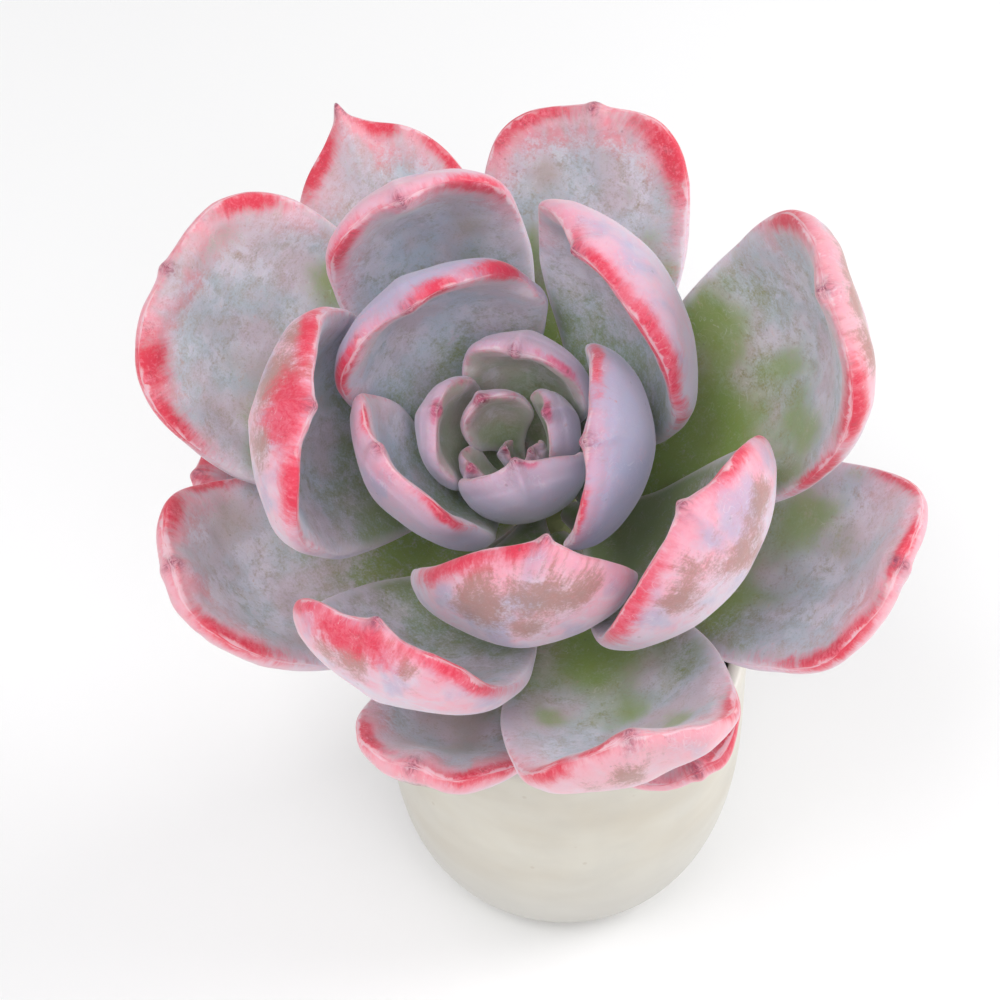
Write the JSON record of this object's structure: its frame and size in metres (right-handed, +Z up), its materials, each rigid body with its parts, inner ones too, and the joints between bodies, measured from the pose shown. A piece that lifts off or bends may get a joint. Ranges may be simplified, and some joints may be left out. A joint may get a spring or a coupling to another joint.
{
  "type": "potted succulent",
  "caption": "Rosette succulent with thick, cupped, red-edged leaves on a short stem, planted in a small round glazed pot.",
  "frame": {"origin": "centre of the pot's foot, on the surface that it stands on", "axes": "+Z up through the pot's centre line; -Y is the front, the side that the rosette leans towards; +X to the right"},
  "size_m": [0.1017, 0.107, 0.1251],
  "materials": {
    "glazed_pot": "off-white glazed ceramic, smooth with a soft gloss",
    "potting_mix": "dark gritty potting mix with pale grains",
    "stem": "dry corky stem with leaf scars",
    "outer_leaf": "fleshy grey-green and rose leaf with waxy bloom, rubbed in places, red margin",
    "middle_leaf": "fleshy lavender-grey leaf with waxy bloom, rose back, red margin",
    "inner_leaf": "young grey-green leaf with waxy bloom and a rose tip"
  },
  "bodies": {
    "root": {"pot": "glazed_pot", "potting_mix": "potting_mix", "stem": "stem", "leaf_01": "outer_leaf", "leaf_02": "outer_leaf", "leaf_03": "outer_leaf", "leaf_04": "outer_leaf", "leaf_05": "outer_leaf", "leaf_06": "outer_leaf", "leaf_07": "outer_leaf", "leaf_08": "outer_leaf", "leaf_09": "outer_leaf", "leaf_10": "outer_leaf", "leaf_11": "outer_leaf", "leaf_12": "middle_leaf", "leaf_13": "middle_leaf", "leaf_14": "middle_leaf", "leaf_15": "middle_leaf", "leaf_16": "middle_leaf", "leaf_17": "middle_leaf", "leaf_18": "middle_leaf", "leaf_19": "middle_leaf", "leaf_20": "middle_leaf", "leaf_21": "inner_leaf", "leaf_22": "inner_leaf", "leaf_23": "inner_leaf", "leaf_24": "inner_leaf", "leaf_25": "inner_leaf", "leaf_26": "inner_leaf", "leaf_27": "inner_leaf", "leaf_28": "inner_leaf"}
  },
  "joints": []
}
